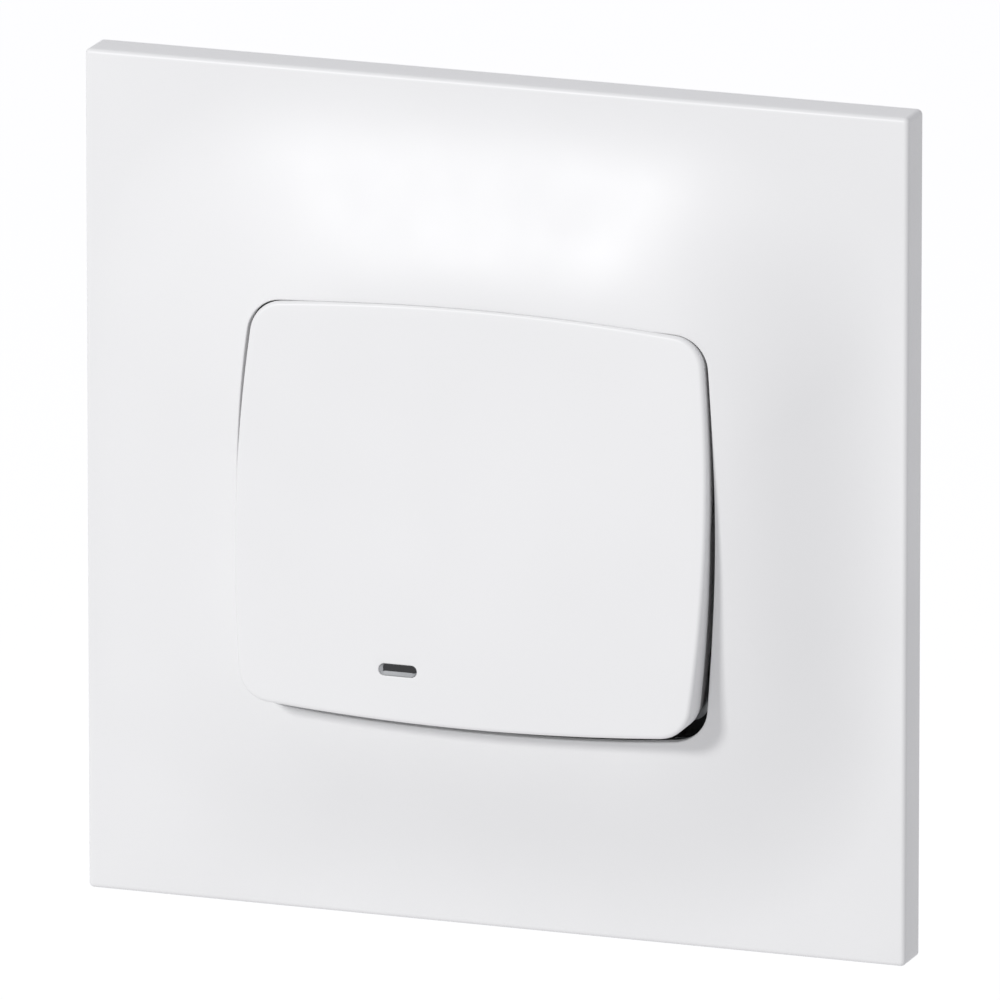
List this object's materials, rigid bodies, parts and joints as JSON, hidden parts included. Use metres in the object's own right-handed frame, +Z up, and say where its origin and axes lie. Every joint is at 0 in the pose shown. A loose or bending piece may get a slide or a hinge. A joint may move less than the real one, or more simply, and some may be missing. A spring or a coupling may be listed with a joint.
{
  "type": "two-way light switch",
  "caption": "Flush two-way rocker light switch: square white relief cover plate, wide tilted key with a slot window, steel frame, claws and a mechanism case behind.",
  "frame": {"origin": "middle of the wall plane: midway between the two box screws, on the back of the support frame", "axes": "+X to the right, +Y into the wall, +Z up, seen from the room"},
  "size_m": [0.08, 0.0352, 0.08],
  "materials": {
    "white_plate": "white moulded plastic, soft gloss",
    "white_key": "white moulded plastic, soft gloss",
    "lens": "clear moulded plastic light guide",
    "zinc_steel": "pressed sheet steel, bright zinc plated",
    "grey_case": "light grey moulded plastic",
    "white_case": "off-white moulded plastic",
    "carrier": "off-white moulded plastic",
    "plunger": "black moulded plastic",
    "spring_steel": "bright spring steel",
    "screw_steel": "zinc plated turned steel",
    "copper_alloy": "pressed copper alloy strip",
    "silver": "silver contact rivet",
    "lamp_glass": "small glass lamp capsule",
    "button": "orange moulded plastic",
    "guide": "grey moulded plastic"
  },
  "bodies": {
    "mechanism": {"cover_plate": "white_plate", "support_frame": "zinc_steel", "mechanism_cover": "grey_case", "mechanism_housing": "white_case", "case_screws": "screw_steel", "common_contact": "copper_alloy", "upper_contact": "copper_alloy", "lower_contact": "copper_alloy", "upper_contact_tip": "silver", "lower_contact_tip": "silver", "indicator_lamp": "lamp_glass", "lamp_holder": "grey_case", "clamp_spring_common": "spring_steel", "wire_guide_common": "guide", "clamp_spring_traveller_one": "spring_steel", "wire_guide_traveller_one": "guide", "clamp_spring_traveller_two": "spring_steel", "wire_guide_traveller_two": "guide"},
    "rocker": {"rocker_key": "white_key", "indicator_lens": "lens", "rocker_carrier": "carrier", "plunger_spring": "spring_steel"},
    "plunger": {"plunger": "plunger"},
    "seesaw": {"moving_contact": "copper_alloy", "moving_contact_tips": "silver"},
    "button_common": {"release_button_common": "button"},
    "button_traveller_one": {"release_button_traveller_one": "button"},
    "button_traveller_two": {"release_button_traveller_two": "button"},
    "upper_claw": {"upper_claw": "zinc_steel"},
    "upper_claw_screw": {"upper_claw_screw": "screw_steel"},
    "upper_claw_nut": {"upper_claw_nut": "screw_steel"},
    "lower_claw": {"lower_claw": "zinc_steel"},
    "lower_claw_screw": {"lower_claw_screw": "screw_steel"},
    "lower_claw_nut": {"lower_claw_nut": "screw_steel"}
  },
  "joints": [
    {"name": "rocker_hinge", "type": "hinge", "parent": "mechanism", "child": "rocker", "pos_m": [0, -0.006, 0], "axis": [1, 0, 0], "range_deg": [0, 11.4]},
    {"name": "plunger_slide", "type": "slide", "parent": "rocker", "child": "plunger", "axis": [0, 0.9951, -0.0993], "range_m": [-0.0008, 0], "stiffness_N_per_m": 400, "deforming": ["plunger_spring"]},
    {"name": "seesaw_hinge", "type": "hinge", "parent": "mechanism", "child": "seesaw", "pos_m": [0, 0.00855, 0], "axis": [1, 0, 0], "range_deg": [-14.25, 0]},
    {"name": "button_common_press", "type": "slide", "parent": "mechanism", "child": "button_common", "axis": [0, -1, 0], "range_m": [0, 0.0015], "stiffness_N_per_m": 800, "deforming": ["clamp_spring_common"]},
    {"name": "button_traveller_one_press", "type": "slide", "parent": "mechanism", "child": "button_traveller_one", "axis": [0, -1, 0], "range_m": [0, 0.0015], "stiffness_N_per_m": 800, "deforming": ["clamp_spring_traveller_one"]},
    {"name": "button_traveller_two_press", "type": "slide", "parent": "mechanism", "child": "button_traveller_two", "axis": [0, -1, 0], "range_m": [0, 0.0015], "stiffness_N_per_m": 800, "deforming": ["clamp_spring_traveller_two"]},
    {"name": "upper_claw_screw_turn", "type": "hinge", "parent": "mechanism", "child": "upper_claw_screw", "pos_m": [0, 0, 0.027], "axis": [0, 1, 0], "range_deg": [0, 792]},
    {"name": "upper_claw_swing", "type": "hinge", "parent": "mechanism", "child": "upper_claw", "pos_m": [0, 0.0017, 0.021], "axis": [1, 0, 0], "range_deg": [0, 20]},
    {"name": "upper_claw_nut_slide", "type": "slide", "parent": "mechanism", "child": "upper_claw_nut", "axis": [0, -1, 0], "range_m": [0, 0.0011]},
    {"name": "lower_claw_screw_turn", "type": "hinge", "parent": "mechanism", "child": "lower_claw_screw", "pos_m": [0, 0, -0.027], "axis": [0, 1, 0], "range_deg": [0, 792]},
    {"name": "lower_claw_swing", "type": "hinge", "parent": "mechanism", "child": "lower_claw", "pos_m": [0, 0.0017, -0.021], "axis": [-1, 0, 0], "range_deg": [0, 20]},
    {"name": "lower_claw_nut_slide", "type": "slide", "parent": "mechanism", "child": "lower_claw_nut", "axis": [0, -1, 0], "range_m": [0, 0.0011]}
  ],
  "couplings": [
    {"joint": "seesaw_hinge", "follows": "rocker_hinge", "ratio": -1.25},
    {"joint": "upper_claw_screw_turn", "follows": "upper_claw_nut_slide", "rad_per_m": 12566},
    {"joint": "upper_claw_swing", "follows": "upper_claw_nut_slide", "rad_per_m": 317.33},
    {"joint": "lower_claw_screw_turn", "follows": "lower_claw_nut_slide", "rad_per_m": 12566},
    {"joint": "lower_claw_swing", "follows": "lower_claw_nut_slide", "rad_per_m": 317.33}
  ]
}
